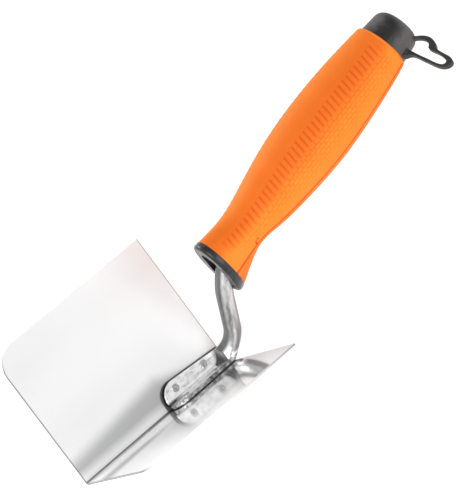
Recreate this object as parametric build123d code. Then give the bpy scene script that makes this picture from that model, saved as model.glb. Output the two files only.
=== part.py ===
from build123d import *
from math import atan, cos, degrees, radians, sin, sqrt
import os

# Inside corner trowel. Millimetres, +Z up.
# The fold of the V-shaped blade lies along X, and the V opens upwards, so the two working faces
# look down and outwards. The origin is on the outer edge of the fold, half way along it.
# The handle leaves over the rear end of the blade (+X) and climbs away from it.

# --- Blade: one sheet, folded to a right angle ---
FOLD_LENGTH = 80.0
WING_WIDTH = 63.0
SHEET = 0.8
FOLD_RADIUS = 1.6
NOSE_CORNER_RADIUS = 10.0
HALF_ANGLE = 45.0

# --- Bracket: a cast foot with one flange on each wing, and a round shank with a tang ---
FLANGE_THICKNESS = 2.0
FLANGE_FRONT = 7.0
FLANGE_TIP = 9.2
FLANGE_SHOULDER = 2.4
FLANGE_SHOULDER_RADIUS = 1.5
FLANGE_REAR = 39.4
FLANGE_WIDTH_FRONT = 10.6
FLANGE_WIDTH_REAR = 8.1
FLANGE_NOSE_RADIUS = 6.8
FLANGE_EDGE_ROUND = 0.45
INNER_CORNER_ROUND = 1.5
SHANK_DIAMETER = 7.3
SHANK_FOOT = (26.0, 2.7)
SHANK_HEEL = (45.9, 3.4)
SHANK_WAIST = (44.6, 42.0)
HEEL_RADIUS = 14.5
WAIST_RADIUS = 42.0
ELBOW_RADIUS = 17.0
ENTRY_ANGLE = 76.0
FLARE_START = 0.15
FLARE_END = 0.8
FLARE_WIDTH = 3.4
FLARE_DEPTH = 0.6
FLARE_SECTIONS = 4
FLARE_SINK = 0.15
TOE_CENTRE = (32.0, 9.1)
TOE_RADIUS = 5.6
TANG_END = 72.0
BARB_DIAMETER = 8.3
BARB_LENGTH = 3.0
BARB_SINK = 0.2
BARB_STARTS = (32.0, 44.0, 56.0)

# --- Rivets: countersunk in the working face, closed over a ring head on the flange ---
RIVET_STATIONS = {"front": 14.0, "rear": 30.0}
RIVET_FROM_FOLD = 6.3
RIVET_DIAMETER = 2.2
RIVET_SINK_DIAMETER = 3.8
RIVET_HEAD_DIAMETER = 3.3
RIVET_HEAD_HEIGHT = 0.6
RIVET_DIMPLE_DIAMETER = 1.4
RIVET_DIMPLE_DEPTH = 0.35

# --- Handle, in its own frame: X along its axis, Z across it in the plane of symmetry ---
HANDLE_START = (44.2, 0.0, 54.4)
HANDLE_TILT = 23.4
END_SLOPE = 0.06
SLEEVE_FRONT = 1.9
SLEEVE_REAR = 109.5
SLEEVE_WALL = 2.0
SLEEVE_REAR_ROUND = 1.4
# Stations of the grip: distance along the axis, half width, top edge, bottom edge.
GRIP_STATIONS = [
    (-4.0, 9.6, 17.4, -16.9),
    (0.0, 9.6, 17.4, -16.9),
    (5.0, 9.4, 16.2, -14.3),
    (10.2, 9.2, 14.3, -10.6),
    (17.3, 9.3, 12.5, -7.0),
    (28.0, 10.9, 12.9, -8.9),
    (44.0, 13.3, 14.8, -11.7),
    (64.0, 14.7, 15.6, -13.8),
    (86.0, 14.0, 14.4, -13.6),
    (106.0, 12.0, 11.8, -12.1),
    (112.0, 11.1, 10.9, -11.3),
]

# --- Handle core: collar, socket for the tang, and a bore that the end cap plugs into ---
COLLAR_FRONT = -1.3
COLLAR_PROUD = 0.25
COLLAR_ROUND = 1.3
COLLAR_REAR_ROUND = 0.4
CORE_REAR = 106.0
POCKET_WIDTH = 8.8
POCKET_TOP = 12.0
POCKET_BOTTOM = -11.9
POCKET_DEPTH = 10.0
POCKET_FLOOR_TOP = 6.0
POCKET_FLOOR_BOTTOM = -3.2
TANG_RISE = 1.0

# --- End cap and its hanging loop, square to the sleeve's rear end; distances from that end ---
CAP_OFFSET = -1.0
CAP_START = -3.5
CAP_BASE_RADIUS = 10.7
CAP_END_RADIUS = 9.6
CAP_LENGTH = 11.6
CAP_END_ROUND = 4.7
SPIGOT_START = -17.5
SPIGOT_DIAMETER = 11.0
SPIGOT_BORE = 6.5
SPIGOT_BORE_END = 4.5
SPIGOT_LEAD = 1.0
CORE_BORE_START = -29.5
LOOP_THICKNESS = 2.8
LOOP_EDGE_ROUND = 0.35
# The loop's two edges: distance from the sleeve's rear end, reach from the cap's axis.
LOOP_OUTLINE = [
    (0.4, 8.0),
    (0.3, 10.2),
    (0.5, 11.6),
    (1.2, 12.4),
    (2.3, 13.4),
    (3.0, 15.2),
    (3.3, 18.5),
    (3.7, 23.5),
    (4.2, 27.0),
    (5.3, 29.4),
    (7.1, 30.7),
    (8.8, 30.6),
    (9.8, 29.0),
    (9.9, 25.6),
    (9.9, 22.6),
    (10.2, 21.0),
    (11.3, 19.8),
    (12.3, 18.0),
    (12.7, 16.0),
    (12.4, 14.0),
    (11.6, 12.1),
    (10.3, 10.2),
    (9.0, 8.0),
]
LOOP_HOLE = [
    (4.1, 8.0),
    (4.1, 12.0),
    (4.2, 16.0),
    (4.6, 20.5),
    (4.9, 24.6),
    (5.4, 27.0),
    (6.3, 28.3),
    (7.4, 28.4),
    (8.2, 27.2),
    (8.7, 25.0),
    (8.7, 22.0),
    (8.4, 19.3),
    (8.6, 18.1),
    (9.4, 17.5),
    (10.3, 16.7),
    (10.8, 15.0),
    (10.6, 13.2),
    (9.8, 11.4),
    (8.4, 9.6),
    (6.8, 8.0),
]

CORNER_Z = -FOLD_RADIUS * (sqrt(2) - 1)
INNER_CORNER_Z = CORNER_Z + SHEET * sqrt(2)
HANDLE_FRAME = Location(HANDLE_START, (0, -HANDLE_TILT, 0))
END_TILT = degrees(atan(END_SLOPE))
CAP_FRAME = Location((SLEEVE_REAR, 0, CAP_OFFSET), (0, END_TILT, 0))
FAR = 200.0
OVERLAP = 1.0


def wing_plane(height=0.0):
    """Plane over the left wing's inner face: X along the fold, Y out from the inner corner."""
    up = Vector(0, -sin(radians(HALF_ANGLE)), cos(radians(HALF_ANGLE)))
    return Plane(origin=Vector(0, 0, INNER_CORNER_Z) + up * height, x_dir=(1, 0, 0), z_dir=up)


def other_side(shape):
    """The same shape on the right wing."""
    return mirror(shape, about=Plane.XZ)


def handle_point(along, rise):
    """X and Z of a point in the plane of symmetry, given in the handle's own frame."""
    tilt = radians(HANDLE_TILT)
    x = HANDLE_START[0] + along * cos(tilt) - rise * sin(tilt)
    z = HANDLE_START[2] + along * sin(tilt) + rise * cos(tilt)
    return x, z


def rounded_polygon(corners):
    """Face from corners given as (x, y, rounding radius)."""
    face = make_face(Polyline(*[(x, y) for x, y, radius in corners], close=True))
    for x, y, radius in corners:
        if radius > 0:
            corner = face.vertices().sort_by_distance((x, y, 0))[0]
            face = fillet(corner, radius)
    return face


def make_rivet(station):
    """One rivet of the left wing: countersink in the sheet, shank, ring head on the flange."""
    grip = SHEET + FLANGE_THICKNESS
    top = grip + RIVET_HEAD_HEIGHT
    rim = RIVET_HEAD_DIAMETER / 2
    shank = RIVET_DIAMETER / 2
    dimple = RIVET_DIMPLE_DIAMETER / 2
    outline = Polyline(
        (0, 0),
        (RIVET_SINK_DIAMETER / 2, 0),
        (shank, SHEET),
        (shank, grip),
        (rim, grip),
        (rim, grip + RIVET_HEAD_HEIGHT / 3),
        (rim - RIVET_HEAD_HEIGHT / 2, top),
        (dimple, top),
        (dimple / 2, top - RIVET_DIMPLE_DEPTH),
        (0, top - RIVET_DIMPLE_DEPTH),
        close=True,
    )
    body = revolve(Plane.XZ * make_face(outline), Axis.Z)
    return wing_plane(-SHEET).location * (Location((station, RIVET_FROM_FOLD, 0)) * body)


def make_rivets():
    """Two rivets on each wing, by node name."""
    rivets = {}
    for name, station in RIVET_STATIONS.items():
        rivet = make_rivet(station)
        rivets["rivet_left_" + name] = rivet
        rivets["rivet_right_" + name] = other_side(rivet)
    return rivets


def make_blade(rivets):
    """The folded sheet: square at the rear, rounded at the front corners of both wings."""
    reach = WING_WIDTH * cos(radians(HALF_ANGLE))
    step = SHEET * sin(radians(HALF_ANGLE))
    tip = CORNER_Z + reach
    section = rounded_polygon(
        [
            (0, CORNER_Z, FOLD_RADIUS),
            (reach, tip, 0),
            (reach - step, tip + step, 0),
            (0, INNER_CORNER_Z, FOLD_RADIUS - SHEET),
            (step - reach, tip + step, 0),
            (-reach, tip, 0),
        ]
    )
    blade = extrude(Plane.YZ * section, FOLD_LENGTH / 2, both=True)
    tips = [edge for edge in blade.edges() if is_nose_corner(edge, reach)]
    return fillet(tips, NOSE_CORNER_RADIUS) - list(rivets.values())


def is_nose_corner(edge, reach):
    """True for the short edge across the sheet at a wing's front outer corner."""
    middle = edge.center()
    at_front = abs(middle.X + FOLD_LENGTH / 2) < SHEET
    return at_front and abs(middle.Y) > reach - SHEET and edge.length < 2 * SHEET


def make_flange():
    """The flange on the left wing: a D-shaped plate with a softened rim."""
    tip = (FLANGE_TIP, 0)
    rear = (FLANGE_REAR, FLANGE_WIDTH_REAR)
    nose = (FLANGE_FRONT, FLANGE_WIDTH_FRONT)
    shoulder = (FLANGE_FRONT, FLANGE_SHOULDER)
    radii = [FLANGE_NOSE_RADIUS, FLANGE_SHOULDER_RADIUS]
    rim = FilletPolyline(rear, nose, shoulder, tip, radius=radii)
    outline = make_face(rim + Polyline(tip, (FLANGE_REAR, 0), rear))
    plate = extrude(outline, FLANGE_THICKNESS, dir=(0, 0, 1))
    top = plate.faces().sort_by(Axis.Z)[-1].edges()
    free = top.sort_by(Axis.X)[:-1].sort_by(Axis.Y)[1:]
    return wing_plane().location * fillet(free, FLANGE_EDGE_ROUND)


def make_web():
    """Concave strip that rounds the inner corner between the flanges."""
    corner_z = INNER_CORNER_Z + FLANGE_THICKNESS * sqrt(2)
    reach = INNER_CORNER_ROUND * cos(radians(HALF_ANGLE))
    top = corner_z + reach
    wedge = make_face(Polyline((0, corner_z - OVERLAP), (reach, top), (-reach, top), close=True))
    hollow = Location((0, corner_z + INNER_CORNER_ROUND * sqrt(2))) * Circle(INNER_CORNER_ROUND)
    length = FLANGE_REAR - FLANGE_TIP - INNER_CORNER_ROUND
    return Location((FLANGE_REAR, 0, 0)) * extrude(Plane.YZ * (wedge - hollow), -length)


def make_foot():
    """Both flanges and the strip between them."""
    flange = make_flange()
    return flange + other_side(flange) + make_web()


def elbow_point():
    """Where the shank's entry line meets the tang's axis."""
    entry = radians(ENTRY_ANGLE)
    tilt = radians(HANDLE_TILT)
    tang_x, tang_z = handle_point(0, TANG_RISE)
    dx = SHANK_WAIST[0] - tang_x
    dz = SHANK_WAIST[1] - tang_z
    cross = cos(tilt) * sin(entry) - sin(tilt) * cos(entry)
    along = (dx * sin(entry) - dz * cos(entry)) / cross
    return handle_point(along, TANG_RISE)


def make_rod():
    """Shank and tang: one round bar along straight runs joined by arcs, flared at its root."""
    points = [SHANK_FOOT, SHANK_HEEL, SHANK_WAIST, elbow_point(), handle_point(TANG_END, TANG_RISE)]
    radii = [HEEL_RADIUS, WAIST_RADIUS, ELBOW_RADIUS]
    path = FilletPolyline(*[(x, 0, z) for x, z in points], radius=radii)
    start = Plane(origin=path @ 0, z_dir=path % 0)
    rod = sweep(start * Circle(SHANK_DIAMETER / 2), path=path)
    return trim_toe(rod + make_flare(path.edges()[1]))


def trim_toe(rod):
    """Hollow out the front of the shank's root, so that it runs down into the flanges."""
    x, z = TOE_CENTRE
    hollow = Location((x, 0, z), (90, 0, 0)) * Cylinder(TOE_RADIUS, FAR)
    ahead = Box(FAR, FAR, 2 * TOE_RADIUS, align=(Align.MAX, Align.CENTER, Align.CENTER))
    return rod - hollow - Location((x, 0, z)) * ahead


def make_flare(heel):
    """Trumpet that widens the shank into the flanges, along the arc of its heel."""
    sections = []
    for step in range(FLARE_SECTIONS + 1):
        place = FLARE_START + (FLARE_END - FLARE_START) * step / FLARE_SECTIONS
        growth = (1 - step / FLARE_SECTIONS) ** 2
        plane = Plane(origin=heel @ place, x_dir=(0, 1, 0), z_dir=heel % place)
        half_width = SHANK_DIAMETER / 2 - FLARE_SINK + FLARE_WIDTH * growth
        half_depth = SHANK_DIAMETER / 2 - FLARE_SINK + FLARE_DEPTH * growth
        sections.append(plane * Ellipse(half_width, half_depth))
    return loft(sections)


def make_barbs():
    """Conical rings on the tang that hold the core."""
    cones = []
    for start in BARB_STARTS:
        cone = Cone(BARB_DIAMETER / 2, SHANK_DIAMETER / 2 - BARB_SINK, BARB_LENGTH)
        centre = Location((start + BARB_LENGTH / 2, 0, TANG_RISE), (0, 90, 0))
        cones.append(HANDLE_FRAME * centre * cone)
    return cones


def over_blade(shape):
    """The part of a shape that lies above the blade's inner faces."""
    side = wing_plane().location * Box(FAR, FAR, FAR, align=(Align.CENTER, Align.CENTER, Align.MAX))
    return shape - side - other_side(side)


def make_bracket(blade, rivets):
    """Foot, shank and barbed tang, cast in one piece."""
    bracket = over_blade(make_foot() + make_rod()) + make_barbs()
    return bracket - blade - list(rivets.values())


def grip_loft(inset):
    """The grip's outline as a solid, all its sections drawn in by inset."""
    sections = []
    for along, half_width, top, bottom in GRIP_STATIONS:
        half_height = (top - bottom) / 2
        plane = Plane(origin=(along, 0, (top + bottom) / 2), x_dir=(0, 1, 0), z_dir=(1, 0, 0))
        sections.append(plane * Ellipse(half_width - inset, half_height - inset))
    return loft(sections)


def behind(along):
    """Everything behind a plane across the handle that leans like its ends."""
    space = Box(FAR, FAR, FAR, align=(Align.MIN, Align.CENTER, Align.CENTER))
    return Location((along, 0, 0), (0, END_TILT, 0)) * space


def turned(corners):
    """Solid of revolution about the cap's axis, from (along, radius) corners."""
    face = make_face(Polyline(*[(along, 0, radius) for along, radius in corners], close=True))
    return CAP_FRAME * revolve(face, Axis.X)


def make_collar():
    """Hard rim at the front of the core, proud of the grip by a little."""
    collar = (grip_loft(-COLLAR_PROUD) & behind(COLLAR_FRONT)) - behind(SLEEVE_FRONT)
    rims = collar.edges().sort_by(Axis.X)
    collar = fillet(rims[0], COLLAR_ROUND)
    return fillet(collar.edges().sort_by(Axis.X)[-1], COLLAR_REAR_ROUND)


def make_pocket():
    """Tall mouth that the shank bends inside, narrowing to the socket."""
    mouth = slot_section(COLLAR_FRONT - OVERLAP, POCKET_TOP, POCKET_BOTTOM)
    floor = slot_section(POCKET_DEPTH, POCKET_FLOOR_TOP, POCKET_FLOOR_BOTTOM)
    return loft([mouth, floor], ruled=True)


def slot_section(along, top, bottom):
    """Upright slot with round ends, across the handle."""
    plane = Plane(origin=(along, 0, (top + bottom) / 2), x_dir=(0, 0, 1), z_dir=(1, 0, 0))
    return plane * SlotOverall(top - bottom, POCKET_WIDTH)


def make_core(bracket):
    """Handle core, closed round the tang."""
    body = (grip_loft(SLEEVE_WALL) & behind(SLEEVE_FRONT - OVERLAP)) - behind(CORE_REAR)
    bore_radius = SPIGOT_DIAMETER / 2
    bore = [(CORE_BORE_START, 0), (CORE_BORE_START, bore_radius), (0, bore_radius), (0, 0)]
    return HANDLE_FRAME * (body + make_collar() - make_pocket() - turned(bore)) - bracket


def make_sleeve(cap_body):
    """Soft grip moulded over the core, and over the root of the end cap."""
    sleeve = (grip_loft(0) & behind(SLEEVE_FRONT)) - behind(SLEEVE_REAR)
    rear_rim = sleeve.edges().sort_by(Axis.X)[-1]
    sleeve = fillet(rear_rim, SLEEVE_REAR_ROUND)
    return sleeve - (grip_loft(SLEEVE_WALL) - behind(CORE_REAR)) - make_collar() - cap_body


def make_cap_body():
    """Solid end cap: a slightly tapered knob on a spigot."""
    knob = turned(
        [
            (CAP_START, 0),
            (CAP_START, CAP_BASE_RADIUS),
            (0, CAP_BASE_RADIUS),
            (CAP_LENGTH, CAP_END_RADIUS),
            (CAP_LENGTH, 0),
        ]
    )
    knob = fillet(knob.edges().sort_by(Axis.X)[-1], CAP_END_ROUND)
    spigot = SPIGOT_DIAMETER / 2
    plug = turned(
        [
            (SPIGOT_START, 0),
            (SPIGOT_START, spigot - SPIGOT_LEAD),
            (SPIGOT_START + SPIGOT_LEAD, spigot),
            (CAP_START + OVERLAP, spigot),
            (CAP_START + OVERLAP, 0),
        ]
    )
    return knob + plug


def make_cap(cap_body):
    """End cap with its hanging loop and the blind hole up its spigot."""
    front = SPIGOT_START - OVERLAP
    bore = SPIGOT_BORE / 2
    hollow = [(front, 0), (front, bore), (SPIGOT_BORE_END, bore), (SPIGOT_BORE_END, 0)]
    return cap_body + make_loop() - turned(hollow)


def smooth_face(points):
    """Face inside a smooth curve through the points, closed by a straight line."""
    return make_face(Spline(*points) + Line(points[-1], points[0]))


def make_loop():
    """Keyhole-shaped hanging loop, flat in the cap's parting plane, on the -Y side."""
    flat = Plane(origin=(0, 0, 0), x_dir=(1, 0, 0), z_dir=(0, 0, -1))
    ring = smooth_face(LOOP_OUTLINE) - smooth_face(LOOP_HOLE)
    loop = extrude(flat * ring, LOOP_THICKNESS / 2, both=True)
    faces = loop.faces().filter_by(Axis.Z)
    rims = [edge for edge in faces.edges() if edge.geom_type != GeomType.LINE]
    return CAP_FRAME * fillet(rims, LOOP_EDGE_ROUND)


def write_parts():
    """Build every node and write it to its own file."""
    rivets = make_rivets()
    blade = make_blade(rivets)
    bracket = make_bracket(blade, rivets)
    cap_body = make_cap_body()
    nodes = dict(rivets)
    nodes["blade"] = blade
    nodes["shank_bracket"] = bracket
    nodes["handle_core"] = make_core(bracket)
    nodes["grip_sleeve"] = HANDLE_FRAME * make_sleeve(cap_body)
    nodes["end_cap"] = HANDLE_FRAME * make_cap(cap_body)
    os.makedirs("parts", exist_ok=True)
    for name, solid in nodes.items():
        export_step(solid, "parts/" + name + ".step")
        print(name, round(solid.volume, 1), solid.is_valid, len(solid.solids()))


write_parts()
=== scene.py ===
from math import atan, cos, pi, radians, sin

import bpy
import numpy as np
from mathutils import Matrix, Vector


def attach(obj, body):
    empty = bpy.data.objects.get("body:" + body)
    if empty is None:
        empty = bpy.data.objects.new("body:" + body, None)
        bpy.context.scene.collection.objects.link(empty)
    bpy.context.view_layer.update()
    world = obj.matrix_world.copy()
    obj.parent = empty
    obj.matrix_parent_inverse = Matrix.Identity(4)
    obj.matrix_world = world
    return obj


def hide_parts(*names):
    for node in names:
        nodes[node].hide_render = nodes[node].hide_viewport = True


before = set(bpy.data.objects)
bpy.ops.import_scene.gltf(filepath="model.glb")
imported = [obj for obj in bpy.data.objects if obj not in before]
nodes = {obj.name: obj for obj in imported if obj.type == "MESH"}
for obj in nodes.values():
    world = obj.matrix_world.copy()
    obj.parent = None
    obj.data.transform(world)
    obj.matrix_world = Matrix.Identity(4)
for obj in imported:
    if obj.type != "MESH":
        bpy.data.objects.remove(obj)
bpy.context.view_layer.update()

MM = 0.001
MM_PER_METRE = 1000.0
SIN_45 = 0.7071
# Height of the corner between the wings' inner faces, in metres.
INNER_CORNER = 0.00047
# Inner face of a wing: half the fold's length, the rim's distance from the fold, the nose corner, in mm.
HALF_FOLD = 40.0
WING_RIM = 62.9
NOSE_CORNER = 10.0
# Outline of the bracket's flanges on the wings, in millimetres.
FLANGE_FRONT = 7.0
FLANGE_WIDTH = 10.6
FLANGE_NOSE = 6.8
FLANGE_TAPER = 0.077
# Axis and radius of the hollow at the shank's root, in metres.
HOLLOW_X = 0.032
HOLLOW_Z = 0.0091
HOLLOW_RADIUS = 0.0056
# Horizontal direction across the reference view, as fixed weights of the object's own -X and Y; it places
# the painted shade on the bar and the painted highlight on the cap.
SIDE_X = 0.70
SIDE_Y = 0.71
# Side of each soft light, in metres.
BOX_SIZE = 0.8
scene = bpy.context.scene

# --- Handle frame: origin on its axis at the collar, X along it, Z across it in the plane of symmetry ---
HANDLE_START = Vector((44.2, 0.0, 54.4)) * MM
HANDLE_TILT = radians(23.4)
END_TILT = atan(0.06)
SLEEVE_FRONT = 1.9
SLEEVE_REAR = 109.5
SLEEVE_REAR_ROUND = 1.4
SLEEVE_LIP = 1.2
SLEEVE_END_FACE = 1.4

# Pattern in the grip's skin: millimetres along the handle, degrees round it from the top.
BAND_ANGLE = 26.0
BAND_DRIFT = 11.0
BAND_DRIFT_END = 46.0
BAND_DRIFT_LENGTH = 28.0
BAND_HALF_WIDTH = 2.9
BAND_EDGE_HALF_WIDTH = 0.22
FAR_SIDE_SHIFT = 26.0
RIB_PITCH = 2.55
RIB_SLANT = 0.2
RIB_HALF_WIDTH = 0.62
BRICK_HEIGHT = 1.55
BRICK_LENGTH = 2.9
BRICK_STOP = 88.0
COURSE_JOINT_HALF_WIDTH = 0.24
END_JOINT_HALF_WIDTH = 0.26
NOTCH_STATION = 17.0
SEAM_FRONT = 86.0
SEAM_REAR = 99.0
SEAM_HALF_WIDTH = 0.60
CURL_RADIUS = 1.3
CURL_HALF_WIDTH = 0.36
# Angles between which the crown's shading deepens and clears, and where it returns on the low side.
CROWN_DEEPENS = (radians(-56.0), radians(10.0))
CROWN_CLEARS = (radians(28.0), radians(60.0))
LOW_SIDE = (radians(84.0), radians(100.0))
LOW_SIDE_SHADE = 0.5
# Stations between which the pattern fades in and out, and where the bricks fade in.
FADE_IN = (5.0, 8.0)
FADE_OUT = (104.0, 106.5)
BRICK_FADE_IN = (8.0, 12.0)
# Depths of the cuts in mm, and how much painted shade each one and the crown get.
DEPTHS = {"ribs": 0.18, "bricks": 0.13, "seam": 0.50, "edge": 0.05}
SHADES = {"crown": 0.42, "ribs": 0.30, "bricks": 0.42, "seam": 0.95, "edge": 0.08}
# Columns of the grip's grid on one side: from, to and spacing, in degrees.
COLUMN_SPANS = ((0, 12, 3.0), (12, 48, 1.25), (48, 84, 1.3), (84, 104, 0.9), (104, 180, 5.0))
GRIP_ROWS = 430
RIM_TURNS = 7

# Stations of the grip: distance along the axis, half width, top edge, bottom edge.
GRIP_STATIONS = [
    (-4.0, 9.6, 17.4, -16.9),
    (0.0, 9.6, 17.4, -16.9),
    (5.0, 9.4, 16.2, -14.3),
    (10.2, 9.2, 14.3, -10.6),
    (17.3, 9.3, 12.5, -7.0),
    (28.0, 10.9, 12.9, -8.9),
    (44.0, 13.3, 14.8, -11.7),
    (64.0, 14.7, 15.6, -13.8),
    (86.0, 14.0, 14.4, -13.6),
    (106.0, 12.0, 11.8, -12.1),
    (112.0, 11.1, 10.9, -11.3),
]


# ---------------------------------------------------------------- node helpers


def new_material(name):
    """Material with an empty tree, its shader and its output."""
    material = bpy.data.materials.new(name)
    material.use_nodes = True
    tree = material.node_tree
    tree.nodes.clear()
    out = tree.nodes.new("ShaderNodeOutputMaterial")
    shader = tree.nodes.new("ShaderNodeBsdfPrincipled")
    tree.links.new(shader.outputs["BSDF"], out.inputs["Surface"])
    return material, tree, shader


def put(tree, kind, inputs=None, **settings):
    """A node with its settings and its input values or links."""
    node = tree.nodes.new(kind)
    for key, value in settings.items():
        setattr(node, key, value)
    for key, value in (inputs or {}).items():
        if isinstance(value, bpy.types.NodeSocket):
            tree.links.new(value, node.inputs[key])
        else:
            node.inputs[key].default_value = value
    return node


def noise(tree, where, scale, detail=4.0, roughness=0.55):
    """Noise value socket at a scale in cycles per metre."""
    node = put(
        tree,
        "ShaderNodeTexNoise",
        {
            "Vector": where,
            "Scale": scale,
            "Detail": detail,
            "Roughness": roughness,
            "Distortion": 0.0,
        },
    )
    return node.outputs["Fac"]


def ramp(tree, factor, stops):
    """Colour ramp socket from (position, colour) stops."""
    node = put(tree, "ShaderNodeValToRGB", {"Fac": factor})
    elements = node.color_ramp.elements
    while len(elements) < len(stops):
        elements.new(0.5)
    for element, (position, color) in zip(elements, stops):
        element.position = position
        element.color = color if len(color) == 4 else (*color, 1.0)
    return node.outputs["Color"]


def spread(tree, value, low, high, to_low, to_high):
    """Linear map of a value from one range to another, clamped."""
    node = put(
        tree,
        "ShaderNodeMapRange",
        {"Value": value, "From Min": low, "From Max": high, "To Min": to_low, "To Max": to_high},
    )
    return node.outputs["Result"]


def stretched(tree, factors):
    """Object coordinates scaled by factors, for grain that runs one way."""
    coordinates = put(tree, "ShaderNodeTexCoord").outputs["Object"]
    mapping = put(tree, "ShaderNodeMapping", {"Vector": coordinates, "Scale": factors})
    return mapping.outputs["Vector"]


def calc(tree, operation, first, second=0.0):
    """Result socket of a sum on sockets or numbers."""
    node = tree.nodes.new("ShaderNodeMath")
    node.operation = operation
    for index, value in enumerate((first, second)):
        if isinstance(value, bpy.types.NodeSocket):
            tree.links.new(value, node.inputs[index])
        else:
            node.inputs[index].default_value = value
    return node.outputs["Value"]


def add(tree, first, second):
    """Sum of two sockets or numbers."""
    return calc(tree, "ADD", first, second)


def subtract(tree, first, second):
    """Difference of two sockets or numbers."""
    return calc(tree, "SUBTRACT", first, second)


def multiply(tree, first, *others):
    """Product of sockets or numbers."""
    for other in others:
        first = calc(tree, "MULTIPLY", first, other)
    return first


def length(tree, first, second):
    """Root of the sum of two squares."""
    squares = add(tree, multiply(tree, first, first), multiply(tree, second, second))
    return calc(tree, "SQRT", squares)


def blend(tree, factor, first, second):
    """Value between two, by factor."""
    rest = subtract(tree, 1.0, factor)
    return add(tree, multiply(tree, second, factor), multiply(tree, first, rest))


def smooth(tree, value):
    """Smoothstep of a value between 0 and 1."""
    square = multiply(tree, value, value)
    return multiply(tree, square, subtract(tree, 3.0, multiply(tree, value, 2.0)))


def bump(tree, height, distance, strength=1.0, normal=None):
    """Normal socket of a bump whose height is in units of distance."""
    inputs = {"Height": height, "Distance": distance, "Strength": strength}
    if normal is not None:
        inputs["Normal"] = normal
    return put(tree, "ShaderNodeBump", inputs).outputs["Normal"]


def connect(tree, shader, **sockets):
    """Link sockets to the shader's inputs, given with underscores for spaces."""
    for key, socket in sockets.items():
        tree.links.new(socket, shader.inputs[key.replace("_", " ")])


def mix_color(tree, factor, first, second):
    """Colour between two, by factor."""
    node = tree.nodes.new("ShaderNodeMix")
    node.data_type = "RGBA"
    tree.links.new(factor, node.inputs[0])
    for index, value in ((6, first), (7, second)):
        if isinstance(value, bpy.types.NodeSocket):
            tree.links.new(value, node.inputs[index])
        else:
            node.inputs[index].default_value = value
    return node.outputs[2]


def axes_of(tree, output):
    """X, Y and Z sockets of where a point is on the object, or of how it faces."""
    vector = put(tree, "ShaderNodeTexCoord").outputs[output]
    return put(tree, "ShaderNodeSeparateXYZ", {"Vector": vector}).outputs


def sideways(tree):
    """How far a surface faces left at the reference view, or right below 0; fixed on the object."""
    facing = axes_of(tree, "Normal")
    return subtract(tree, multiply(tree, facing["Y"], SIDE_Y), multiply(tree, facing["X"], SIDE_X))


# ---------------------------------------------------------------- materials


def wing_coordinates(tree):
    """Sockets on the blade: along the fold, signed side, out from the fold in mm; 1 on an inner face."""
    axes = axes_of(tree, "Object")
    along = multiply(tree, axes["X"], MM_PER_METRE)
    side = multiply(tree, axes["Y"], MM_PER_METRE)
    height = multiply(tree, axes["Z"], MM_PER_METRE)
    out = multiply(tree, add(tree, calc(tree, "ABSOLUTE", side), height), SIN_45)
    inner = spread(tree, axes_of(tree, "Normal")["Z"], 0.0, 0.2, 0.0, 1.0)
    return along, side, out, inner


def foot_contact(tree, along, out):
    """Darkness of the painted contact shadow round a flange of the bracket, wider at its nose, in mm on
    the wing.
    """
    lean = multiply(tree, subtract(tree, along, FLANGE_FRONT), FLANGE_TAPER)
    sloped = add(tree, out, lean)
    ahead = calc(tree, "MAXIMUM", subtract(tree, FLANGE_FRONT + FLANGE_NOSE, along), 0.0)
    beyond = calc(tree, "MAXIMUM", subtract(tree, sloped, FLANGE_WIDTH - FLANGE_NOSE), 0.0)
    far = length(tree, ahead, beyond)
    gap = subtract(tree, subtract(tree, far, FLANGE_NOSE), multiply(tree, ahead, 0.06))
    line = spread(tree, gap, 0.25, 0.75, 0.93, 0.0)
    return multiply(tree, line, spread(tree, along, 39.2, 39.6, 1.0, 0.0))


def wing_level(tree, along, out, satin):
    """Painted light: the satin wing is painted brighter towards the fold and the rear, the other at its
    nose.
    """
    from_fold = spread(tree, out, 12.0, 52.0, 0.80, 0.64)
    satin_level = multiply(tree, from_fold, spread(tree, along, -35.0, 38.0, 0.90, 1.10))
    polish_level = spread(tree, along, 4.0, 39.0, 0.98, 0.44)
    return blend(tree, satin, polish_level, satin_level)


def fold_band(tree, along, out):
    """Strength of the soft grey band of painted shade and reflection along the fold, with a bright gap
    next to the fold.
    """
    from_nose = spread(tree, along, -HALF_FOLD, 12.0, 13.5, 18.5)
    from_rear = spread(tree, along, 8.0, 34.0, 18.5, 8.0)
    reach = calc(tree, "MINIMUM", from_nose, from_rear)
    inside = spread(tree, subtract(tree, reach, out), 0.0, 7.5, 0.0, 1.0)
    return multiply(tree, smooth(tree, inside), spread(tree, out, 2.6, 6.2, 0.03, 1.0))


def nose_streak(tree, along, out):
    """Strength of the painted reflection, a grey streak along a wing, wide at the nose and fading towards
    the bracket.
    """
    half_width = spread(tree, along, -HALF_FOLD, 0.0, 9.0, 3.2)
    off = calc(tree, "ABSOLUTE", subtract(tree, out, 19.0))
    across = spread(tree, calc(tree, "DIVIDE", off, half_width), 0.20, 1.0, 1.0, 0.0)
    return multiply(tree, across, spread(tree, along, -16.0, 3.0, 1.0, 0.0))


def sheet_outline(tree, along, out):
    """Darkness of the thin painted shade line along the sheet's ends, rims and rounded nose corners."""
    to_rear = subtract(tree, HALF_FOLD, along)
    ahead = calc(tree, "MAXIMUM", subtract(tree, NOSE_CORNER - HALF_FOLD, along), 0.0)
    beyond = calc(tree, "MAXIMUM", subtract(tree, out, WING_RIM - NOSE_CORNER), 0.0)
    to_front = subtract(tree, NOSE_CORNER, length(tree, ahead, beyond))
    return spread(tree, calc(tree, "MINIMUM", to_rear, to_front), 0.10, 0.42, 0.80, 0.0)


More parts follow.
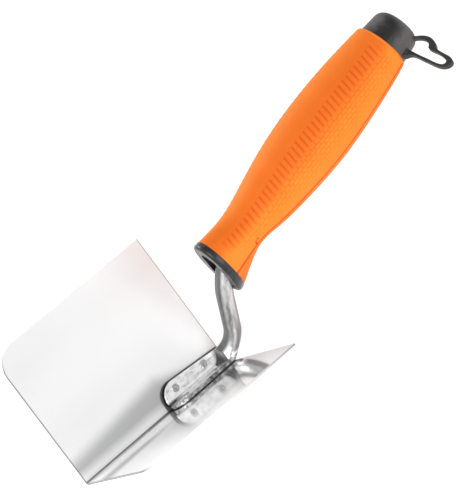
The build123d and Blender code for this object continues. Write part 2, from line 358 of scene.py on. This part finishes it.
def blade_steel():
    """Stainless sheet: one wing satin, the other polished, with painted light and shade: brightness
    gradients, dark lines at the sheared edges, the fold and round the flanges, a grey band along the fold
    and a painted reflection streak.
    """
    material, tree, shader = new_material("blade_steel")
    along, side, out, inner = wing_coordinates(tree)
    even = stretched(tree, (1, 1, 1))
    grain = noise(tree, stretched(tree, (60, 1800, 1800)), 3.0, 3.0)
    cloud = noise(tree, even, 45.0, 3.0)
    satin = spread(tree, side, 0.05, 0.35, 0.0, 1.0)
    sheen = ramp(tree, cloud, [(0.3, (0.97, 0.972, 0.976)), (0.7, (1.0, 1.0, 1.0))])
    # Painted light: the wings' brightness is painted to rise towards the fold and the rear, and at the
    # polished wing's nose.
    tint = mix_color(tree, wing_level(tree, along, out, satin), (0.0, 0.0, 0.0, 1.0), sheen)
    # Painted shade and reflection: a soft grey band along the fold on the satin wing's inner face.
    band = multiply(tree, fold_band(tree, along, out), satin, inner, 0.64)
    tint = mix_color(tree, band, tint, (0.22, 0.22, 0.225, 1.0))
    # Painted reflection: a grey streak along the polished wing's inner face.
    polish = subtract(tree, 1.0, satin)
    streak = multiply(tree, nose_streak(tree, along, out), inner, polish, 0.66)
    tint = mix_color(tree, streak, tint, (0.14, 0.14, 0.143, 1.0))
    # Painted shade: a dark line in the fold's inner corner, a contact shadow round the flanges, and dark
    # lines along the sheet's edges.
    fold = spread(tree, out, 0.75, 1.15, 0.90, 0.0)
    fold = multiply(tree, calc(tree, "MAXIMUM", fold, foot_contact(tree, along, out)), inner)
    lines = calc(tree, "MAXIMUM", fold, sheet_outline(tree, along, out))
    tint = mix_color(tree, lines, tint, (0.06, 0.06, 0.06, 1.0))
    rough = spread(tree, grain, 0.3, 0.7, 0.07, 0.11)
    rough = add(tree, rough, multiply(tree, satin, 0.36))
    polished = spread(tree, along, -25.0, 6.0, 0.15, 0.86)
    metallic = blend(tree, satin, polished, 0.25)
    normal = bump(tree, grain, 0.00001, 0.12)
    connect(tree, shader, Base_Color=tint, Roughness=rough, Metallic=metallic, Normal=normal)
    return material


def hollow_mask(tree, axes, level):
    """1 on the hollow's curved face at the shank's root, 0 elsewhere."""
    from_x = subtract(tree, axes["X"], HOLLOW_X)
    far = length(tree, from_x, subtract(tree, axes["Z"], HOLLOW_Z))
    off = calc(tree, "ABSOLUTE", subtract(tree, far, HOLLOW_RADIUS))
    near = spread(tree, off, 0.0001, 0.00018, 1.0, 0.0)
    curved = multiply(tree, near, spread(tree, level, 0.93, 0.98, 1.0, 0.0))
    return multiply(tree, curved, spread(tree, from_x, -0.0001, 0.0001, 0.0, 1.0))


def bracket_coordinates(tree):
    """Sockets on the bracket, by name: place in mm and facing, both as its nearer flange has them."""
    axes = axes_of(tree, "Object")
    facing = axes_of(tree, "Normal")
    side = calc(tree, "SIGN", axes["Y"])
    width = calc(tree, "ABSOLUTE", axes["Y"])
    above = subtract(tree, axes["Z"], INNER_CORNER)
    slope = subtract(tree, facing["Z"], multiply(tree, facing["Y"], side))
    level = multiply(tree, slope, SIN_45)
    return {
        "hollow": hollow_mask(tree, axes, level),
        "along": multiply(tree, axes["X"], MM_PER_METRE),
        "left": spread(tree, side, -1.0, 1.0, 0.0, 1.0),
        "lift": multiply(tree, subtract(tree, above, width), SIN_45 * MM_PER_METRE),
        "out": multiply(tree, add(tree, above, width), SIN_45 * MM_PER_METRE),
        "level": level,
        "across": sideways(tree),
    }


def shade_bar(tree, tint, at, raised):
    """Painted shade on the bar: darker on its +Y side, a little on its other side, and darkest there at
    its outline.
    """
    left = multiply(tree, spread(tree, at["across"], 0.16, 0.44, 0.0, 0.97), raised)
    tint = mix_color(tree, left, tint, (0.14, 0.141, 0.143, 1.0))
    right = multiply(tree, spread(tree, at["across"], -0.25, -0.60, 0.0, 1.0), raised)
    right = multiply(tree, right, spread(tree, at["lift"], 8.0, 22.0, 0.90, 0.55))
    deep = spread(tree, at["lift"], 8.0, 22.0, 1.0, 0.0)
    shade = mix_color(tree, deep, (0.34, 0.341, 0.343, 1.0), (0.16, 0.161, 0.163, 1.0))
    tint = mix_color(tree, right, tint, shade)
    # Painted shade along the outline that the reference view sees on that side.
    rim = multiply(tree, spread(tree, at["across"], -0.84, -0.97, 0.0, 0.85), raised)
    return mix_color(tree, rim, tint, (0.10, 0.101, 0.102, 1.0))


def shade_flanges(tree, tint, at, blotch):
    """Painted shade: a dark hollow, a dark nose of the web, and dark flanks, darkest where they meet the
    sheet.
    """
    # Painted shade in the hollow at the shank's root.
    tint = mix_color(tree, at["hollow"], tint, (0.085, 0.086, 0.088, 1.0))
    # Painted shade at the nose of the web between the flanges.
    ahead = spread(tree, at["along"], 11.0, 15.5, 0.9, 0.0)
    nose = multiply(tree, ahead, spread(tree, at["out"], 2.6, 3.6, 1.0, 0.0))
    tint = mix_color(tree, nose, tint, (0.05, 0.05, 0.052, 1.0))
    # Painted shade on the flanks: full on the +Y flange, in blotches on the other, and a painted contact
    # shadow where they meet the sheet.
    steep = spread(tree, at["level"], 0.72, 0.93, 1.0, 0.0)
    flank = multiply(tree, steep, spread(tree, at["lift"], 1.95, 2.1, 1.0, 0.0))
    contact_shade = spread(tree, at["lift"], 0.35, 0.75, 1.0, 0.0)
    painted_side_tone = calc(tree, "MAXIMUM", at["left"], spread(tree, blotch, 0.62, 0.40, 0.40, 0.86))
    dark = calc(tree, "MAXIMUM", painted_side_tone, multiply(tree, contact_shade, 0.98))
    return mix_color(tree, multiply(tree, flank, dark), tint, (0.02, 0.02, 0.021, 1.0))


def cast_metal():
    """Tumbled casting, bright and finely mottled, with painted shade on its flanks, in its hollow and on
    the bar's sides.
    """
    material, tree, shader = new_material("cast_metal")
    shader.inputs["Metallic"].default_value = 1.0
    even = stretched(tree, (1, 1, 1))
    blotch = noise(tree, stretched(tree, (0.45, 1, 1)), 700.0, 4.0, 0.6)
    streak = noise(tree, stretched(tree, (1, 1, 0.25)), 520.0, 4.0, 0.65)
    pits = noise(tree, even, 2200.0, 3.0, 0.6)
    at = bracket_coordinates(tree)
    top = ramp(
        tree,
        blotch,
        [(0.30, (0.52, 0.522, 0.525)), (0.46, (0.84, 0.84, 0.84)), (0.60, (0.98, 0.98, 0.98))],
    )
    bar = ramp(
        tree,
        streak,
        [(0.32, (0.42, 0.422, 0.425)), (0.48, (0.74, 0.74, 0.74)), (0.62, (0.96, 0.96, 0.96))],
    )
    raised = spread(tree, at["lift"], 2.3, 3.4, 0.0, 1.0)
    tint = shade_bar(tree, mix_color(tree, raised, top, bar), at, raised)
    tint = shade_flanges(tree, tint, at, blotch)
    rough = spread(tree, blotch, 0.3, 0.7, 0.42, 0.28)
    normal = bump(tree, blotch, 0.00006, 0.5)
    normal = bump(tree, pits, 0.00003, 0.5, normal)
    connect(tree, shader, Base_Color=tint, Roughness=rough, Normal=normal)
    return material


def rivet_metal():
    """Closed rivet: satin aluminium with a scuffed head."""
    material, tree, shader = new_material("rivet_metal")
    shader.inputs["Metallic"].default_value = 1.0
    even = stretched(tree, (1, 1, 1))
    scuff = noise(tree, even, 1400.0, 4.0)
    tint = ramp(tree, scuff, [(0.3, (0.34, 0.342, 0.345)), (0.7, (0.52, 0.52, 0.525))])
    rough = spread(tree, scuff, 0.3, 0.7, 0.38, 0.22)
    normal = bump(tree, scuff, 0.00005, 0.6)
    connect(tree, shader, Base_Color=tint, Roughness=rough, Normal=normal)
    return material


def glossy_plastic():
    """Hard black moulding with a faint flow haze."""
    material, tree, shader = new_material("glossy_plastic")
    even = stretched(tree, (1, 1, 1))
    haze = noise(tree, even, 420.0, 4.0)
    fine = noise(tree, even, 5200.0, 2.0)
    tint = ramp(tree, haze, [(0.3, (0.010, 0.010, 0.011)), (0.7, (0.022, 0.022, 0.024))])
    rough = spread(tree, haze, 0.3, 0.7, 0.20, 0.32)
    shader.inputs["Specular IOR Level"].default_value = 0.3
    normal = bump(tree, haze, 0.0001, 0.25)
    normal = bump(tree, fine, 0.00001, 0.4, normal)
    connect(tree, shader, Base_Color=tint, Roughness=rough, Normal=normal)
    return material


def matt_plastic():
    """Dark brown-grey moulding with an eroded grain, a mottled bloom and a painted highlight on the cap's
    sides.
    """
    material, tree, shader = new_material("matt_plastic")
    even = stretched(tree, (1, 1, 1))
    bloom = noise(tree, even, 110.0, 4.0, 0.62)
    grain = noise(tree, even, 3800.0, 3.0)
    shader.inputs["Specular IOR Level"].default_value = 0.4
    tint = ramp(
        tree,
        bloom,
        [(0.34, (0.004, 0.003, 0.003)), (0.50, (0.009, 0.008, 0.008)), (0.66, (0.055, 0.050, 0.048))],
    )
    # Painted highlight: the cap is painted lighter on its sides, but not at its outline, nor on the loop.
    off = calc(tree, "ABSOLUTE", sideways(tree))
    painted_side_tone = spread(tree, off, 0.24, 0.72, 0.0, 0.68)
    painted_side_tone = multiply(tree, painted_side_tone, spread(tree, off, 0.84, 0.98, 1.0, 0.2))
    on_cap = spread(tree, axes_of(tree, "Object")["Y"], -0.0125, -0.0110, 0.0, 1.0)
    painted_side_tone = multiply(tree, painted_side_tone, on_cap)
    tint = mix_color(tree, on_cap, (0.012, 0.011, 0.011, 1.0), tint)
    tint = mix_color(tree, painted_side_tone, tint, (0.090, 0.080, 0.077, 1.0))
    rough = spread(tree, bloom, 0.3, 0.7, 0.42, 0.60)
    normal = bump(tree, bloom, 0.00012, 0.3)
    normal = bump(tree, grain, 0.00003, 0.7, normal)
    connect(tree, shader, Base_Color=tint, Roughness=rough, Normal=normal)
    return material


def soft_grip():
    """Orange elastomer: fine matt grain, with painted shade in the cut pattern, on the crown and on the
    low sides.
    """
    material, tree, shader = new_material("soft_grip")
    even = stretched(tree, (1, 1, 1))
    cloud = noise(tree, even, 90.0, 3.0)
    grain = noise(tree, even, 4200.0, 3.0)
    painted_shade = put(tree, "ShaderNodeAttribute", attribute_name="painted_shade").outputs["Fac"]
    top = ramp(tree, cloud, [(0.3, (0.68, 0.180, 0.019)), (0.7, (0.72, 0.196, 0.024))])
    # Painted shade in the cuts, on the crown and on the low sides, from the mesh attribute.
    deep = mix_color(tree, painted_shade, top, (0.46, 0.034, 0.002, 1.0))
    rough = spread(tree, grain, 0.3, 0.7, 0.46, 0.60)
    normal = bump(tree, grain, 0.00003, 0.6)
    shader.inputs["Specular IOR Level"].default_value = 0.06
    shader.inputs["Subsurface Weight"].default_value = 0.08
    shader.inputs["Subsurface Radius"].default_value = (0.004, 0.0015, 0.0006)
    shader.inputs["Subsurface Scale"].default_value = 0.3
    connect(tree, shader, Base_Color=deep, Roughness=rough, Normal=normal)
    return material


def paint(node_name, material):
    """Give a CAD node its material."""
    slots = nodes[node_name].data.materials
    if len(slots) == 0:
        slots.append(material)
    for index in range(len(slots)):
        slots[index] = material


# ---------------------------------------------------------------- grip


def natural_spline(xs, ys):
    """Second derivatives of the natural cubic spline through the points."""
    count = len(xs)
    step = np.diff(xs)
    matrix = np.eye(count)
    right = np.zeros(count)
    for i in range(1, count - 1):
        matrix[i, i - 1 : i + 2] = (step[i - 1], 2 * (step[i - 1] + step[i]), step[i])
        right[i] = 6 * ((ys[i + 1] - ys[i]) / step[i] - (ys[i] - ys[i - 1]) / step[i - 1])
    return np.linalg.solve(matrix, right)


def evaluate(xs, ys, curve, at):
    """Value of the cubic spline at positions."""
    i = np.clip(np.searchsorted(xs, at) - 1, 0, len(xs) - 2)
    step = xs[i + 1] - xs[i]
    a = (xs[i + 1] - at) / step
    b = (at - xs[i]) / step
    bend = ((a**3 - a) * curve[i] + (b**3 - b) * curve[i + 1]) * step**2 / 6
    return a * ys[i] + b * ys[i + 1] + bend


STATION_X = np.array([row[0] for row in GRIP_STATIONS])
STATION_Y = [np.array([row[i] for row in GRIP_STATIONS]) for i in (1, 2, 3)]
STATION_CURVE = [natural_spline(STATION_X, ys) for ys in STATION_Y]


def grip_section(along):
    """Half width, centre height and half height of the grip's section."""
    half, top, bottom = [evaluate(STATION_X, y, c, along) for y, c in zip(STATION_Y, STATION_CURVE)]
    return half, (top + bottom) / 2, (top - bottom) / 2


def grip_surface(station, angle, inset=0.0):
    """Points of the grip in the handle's frame, in mm. The angle is 0 at the top and grows towards -Y."""
    along = station.copy()
    for _ in range(4):
        half, centre, tall = grip_section(along)
        height = centre + (tall - inset) * np.cos(angle)
        along = station + height * np.tan(END_TILT)
    half, centre, tall = grip_section(along)
    side = (half - inset) * np.sin(angle)
    return np.stack([along, -side, centre + (tall - inset) * np.cos(angle)], axis=-1)


def to_row(points):
    """Handle frame in mm to the row frame in metres."""
    turn = np.array(
        [[cos(HANDLE_TILT), 0, -sin(HANDLE_TILT)], [0, 1, 0], [sin(HANDLE_TILT), 0, cos(HANDLE_TILT)]]
    )
    return points @ turn.T * MM + np.array(HANDLE_START)


def grid_mesh(name, points):
    """Mesh of quads from a grid of points: rows along the handle, columns round it."""
    rows, columns = points.shape[:2]
    index = np.arange(rows * columns).reshape(rows, columns)
    after = np.roll(index, -1, axis=1)
    faces = np.stack([index[:-1], after[:-1], after[1:], index[1:]], axis=-1).reshape(-1, 4)
    mesh = bpy.data.meshes.new(name)
    mesh.from_pydata(points.reshape(-1, 3).tolist(), [], faces.tolist())
    mesh.polygons.foreach_set("use_smooth", [True] * len(mesh.polygons))
    return mesh


def groove(distance, half_width):
    """Depth from 0 to 1 across a groove's rounded section."""
    return np.clip(1 - (distance / half_width) ** 2, 0, 1)


def seam_line(station):
    """Angle of the seam: straight from the collar to the notch, then along the lower side."""
    part = np.clip(station / NOTCH_STATION, 0, 1)
    return radians(SEAM_FRONT) + (radians(SEAM_REAR) - radians(SEAM_FRONT)) * part


def ramp_up(value, span):
    """0 before a span, 1 after it, and even in between."""
    first, last = span
    return np.clip((value - first) / (last - first), 0, 1)


def ease(part):
    """Smoothstep of an array between 0 and 1."""
    return part * part * (3 - 2 * part)


def rib_band(station, across):
    """Slanted ribs and the fine lines that edge them, from the distance across the band."""
    in_band = np.clip((BAND_HALF_WIDTH - np.abs(across)) / 0.35, 0, 1)
    phase = np.mod(station + across * RIB_SLANT, RIB_PITCH) - RIB_PITCH / 2
    ribs = groove(np.abs(phase), RIB_HALF_WIDTH) * in_band
    edge = groove(np.abs(np.abs(across) - BAND_HALF_WIDTH), BAND_EDGE_HALF_WIDTH)
    return ribs, edge


def brick_field(station, beside, to_stop):
    """Fine bricks, from the distance past the band and the distance left to the seam's side."""
    within = np.clip(beside / 0.5, 0, 1) * np.clip(to_stop / 6.0, 0, 1)
    course = beside / BRICK_HEIGHT
    across_line = np.abs(course - np.round(course)) * BRICK_HEIGHT
    shift = np.mod(np.floor(course), 2) * BRICK_LENGTH / 2
    end = np.abs(np.mod(station + shift, BRICK_LENGTH) - BRICK_LENGTH / 2)
    lines = np.maximum(groove(across_line, COURSE_JOINT_HALF_WIDTH), groove(end, END_JOINT_HALF_WIDTH))
    return lines * within * ramp_up(station, BRICK_FADE_IN)


def seam_cut(station, around, girth):
    """Parting seam, and the small curl where it turns along the grip."""
    seam = groove(np.abs(around - seam_line(station)) * girth, SEAM_HALF_WIDTH)
    curl_x = station - NOTCH_STATION
    curl_y = (around - radians(SEAM_REAR)) * girth + CURL_RADIUS
    ring = np.abs(np.hypot(curl_x, curl_y) - CURL_RADIUS)
    curl = groove(ring, CURL_HALF_WIDTH) * (curl_x < 0.9)
    return np.maximum(seam, curl)


def crown_shade(angle):
    """Shading of the crown from the +Y shoulder to beyond the band, and of both low sides."""
    crown = ease(ramp_up(angle, CROWN_DEEPENS)) * ease(1 - ramp_up(angle, CROWN_CLEARS))
    return crown + LOW_SIDE_SHADE * ramp_up(np.abs(angle), LOW_SIDE)


def grip_relief(station, angle):
    """Depth below the smooth skin in mm, and the painted shade in the cuts and on the crown, over the
    grid.
    """
    half, _, tall = grip_section(station)
    girth = (half + tall) / 2
    around = np.abs(angle)
    # On the +Y side the pattern lies further down, so the crown and that shoulder are plain.
    turn = np.where(angle < 0, around - radians(FAR_SIDE_SHIFT), around)
    drift = np.clip((BAND_DRIFT_END - station) / BAND_DRIFT_LENGTH, 0, 1)
    band = radians(BAND_ANGLE) + radians(BAND_DRIFT) * drift
    brick_start = band + (BAND_HALF_WIDTH + 0.2) / girth
    ribs, edge = rib_band(station, (turn - band) * girth)
    to_stop = (radians(BRICK_STOP) - around) * girth
    bricks = brick_field(station, (turn - brick_start) * girth, to_stop)
    fade = ramp_up(station, FADE_IN) * (1 - ramp_up(station, FADE_OUT))
    cuts = {
        "ribs": ribs * fade,
        "bricks": bricks * fade,
        "edge": edge * fade,
        "seam": seam_cut(station, around, girth),
        "crown": crown_shade(angle),
    }
    depth = sum(DEPTHS[name] * cuts[name] for name in DEPTHS)
    dark = np.clip(sum(SHADES[name] * cuts[name] for name in SHADES), 0, 1)
    return depth, dark


def around_angles():
    """Angles of the grid's columns: close together where there is relief, wide apart elsewhere."""
    side = np.concatenate([np.arange(first, last - 0.01, step) for first, last, step in COLUMN_SPANS])
    return np.radians(np.concatenate([-side[:0:-1], side]))


def make_grip():
    """The soft sleeve with its moulded relief, rolled rear rim and end face."""
    angles = around_angles()
    columns = len(angles)
    flat_end = SLEEVE_REAR - SLEEVE_REAR_ROUND
    stations = np.linspace(SLEEVE_FRONT, flat_end, GRIP_ROWS)
    station, angle = np.meshgrid(stations, angles, indexing="ij")
    skin = grip_surface(station, angle)
    depth, dark = grip_relief(station, angle)
    inner = grip_surface(station, angle, 1.0)
    direction = inner - skin
    direction /= np.linalg.norm(direction, axis=-1, keepdims=True)
    body = skin + direction * depth[..., None]
    rings = [body]
    shade = [dark]
    for turn in np.linspace(0, pi / 2, RIM_TURNS)[1:]:
        back = flat_end + SLEEVE_REAR_ROUND * sin(turn)
        inset = SLEEVE_REAR_ROUND * (1 - cos(turn))
        rings.append(grip_surface(np.full((1, columns), back), angle[:1], inset))
        shade.append(np.zeros((1, columns)))
    end_inset = SLEEVE_REAR_ROUND + SLEEVE_END_FACE
    rings.append(grip_surface(np.full((1, columns), SLEEVE_REAR), angle[:1], end_inset))
    shade.append(np.zeros((1, columns)))
    lip = grip_surface(np.full((1, columns), SLEEVE_FRONT), angle[:1], SLEEVE_LIP)
    points = np.concatenate([lip] + rings, axis=0)
    shade = np.concatenate([np.zeros((1, columns))] + shade, axis=0)
    mesh = grid_mesh("grip_skin", to_row(points))
    # The grip's painted shade, stored on its points.
    attribute = mesh.attributes.new("painted_shade", "FLOAT", "POINT")
    attribute.data.foreach_set("value", shade.reshape(-1).astype(np.float32))
    grip = bpy.data.objects.new("grip_skin", mesh)
    scene.collection.objects.link(grip)
    mesh.materials.append(soft_grip())
    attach(grip, "root")
    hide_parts("grip_sleeve")


# ---------------------------------------------------------------- stage, light and camera


def make_floor():
    """Plain pale floor under the fold."""
    mesh = bpy.data.meshes.new("floor")
    size = 6.0
    corners = [(-size, -size, 0), (size, -size, 0), (size, size, 0), (-size, size, 0)]
    mesh.from_pydata(corners, [], [(0, 1, 2, 3)])
    floor = bpy.data.objects.new("floor", mesh)
    scene.collection.objects.link(floor)
    material, _, shader = new_material("floor_white")
    shader.inputs["Base Color"].default_value = (0.95, 0.95, 0.95, 1.0)
    shader.inputs["Roughness"].default_value = 0.9
    shader.inputs["Specular IOR Level"].default_value = 0.0
    mesh.materials.append(material)


def make_world():
    """Light tent: bright white walls all round and a dimmer top."""
    world = bpy.data.worlds.new("studio")
    world.use_nodes = True
    tree = world.node_tree
    direction = put(tree, "ShaderNodeTexCoord").outputs["Generated"]
    height = put(tree, "ShaderNodeSeparateXYZ", {"Vector": direction}).outputs["Z"]
    white = (1.0, 1.0, 1.0)
    grey = (0.40, 0.40, 0.40)
    tone = ramp(tree, height, [(0.0, white), (0.80, white), (0.93, grey), (1.0, grey)])
    background = tree.nodes["Background"]
    tree.links.new(tone, background.inputs["Color"])
    background.inputs["Strength"].default_value = 1.05
    scene.world = world


def area_light(name, place, target, watts):
    """Square soft light aimed at a point."""
    data = bpy.data.lights.new(name, "AREA")
    data.shape = "SQUARE"
    data.size = BOX_SIZE
    data.energy = watts
    light = bpy.data.objects.new(name, data)
    light.location = place
    aim = Vector(target) - Vector(place)
    light.rotation_euler = aim.to_track_quat("-Z", "Y").to_euler()
    scene.collection.objects.link(light)


def make_camera():
    """Camera at the reference view: from the front left of the blade, above it."""
    data = bpy.data.cameras.new("camera")
    camera = bpy.data.objects.new("camera", data)
    scene.collection.objects.link(camera)
    right = Vector((0.69461808, -0.70901252, -0.12168387))
    up = Vector((0.58628380, 0.45992688, 0.66688723))
    back = Vector((-0.41686571, -0.53457321, 0.73515608))
    turn = Matrix((right, up, back)).transposed().to_4x4()
    place = Vector((-0.53528, -0.75201, 1.09624))
    camera.matrix_world = Matrix.Translation(place) @ turn
    data.sensor_fit = "VERTICAL"
    data.sensor_height = 36.0
    data.lens = 264.45
    data.clip_start = 0.05
    data.clip_end = 20.0
    scene.camera = camera


# ---------------------------------------------------------------- build

steel = blade_steel()
cast = cast_metal()
rivets = rivet_metal()
black = glossy_plastic()
matt = matt_plastic()

paint("blade", steel)
paint("shank_bracket", cast)
for side in ("left", "right"):
    for end in ("front", "rear"):
        paint("rivet_%s_%s" % (side, end), rivets)
paint("handle_core", black)
paint("end_cap", matt)
make_grip()

make_floor()
make_world()
area_light("right_box", (0.35, -1.5, 0.32), (0.06, 0.0, 0.07), 7.0)
area_light("left_box", (-0.30, 1.5, 0.40), (0.06, 0.0, 0.07), 14.0)
area_light("front_box", (-0.90, -0.80, 0.90), (0.0, 0.0, 0.03), 14.0)
make_camera()

scene.view_settings.view_transform = "Standard"
scene.view_settings.look = "None"
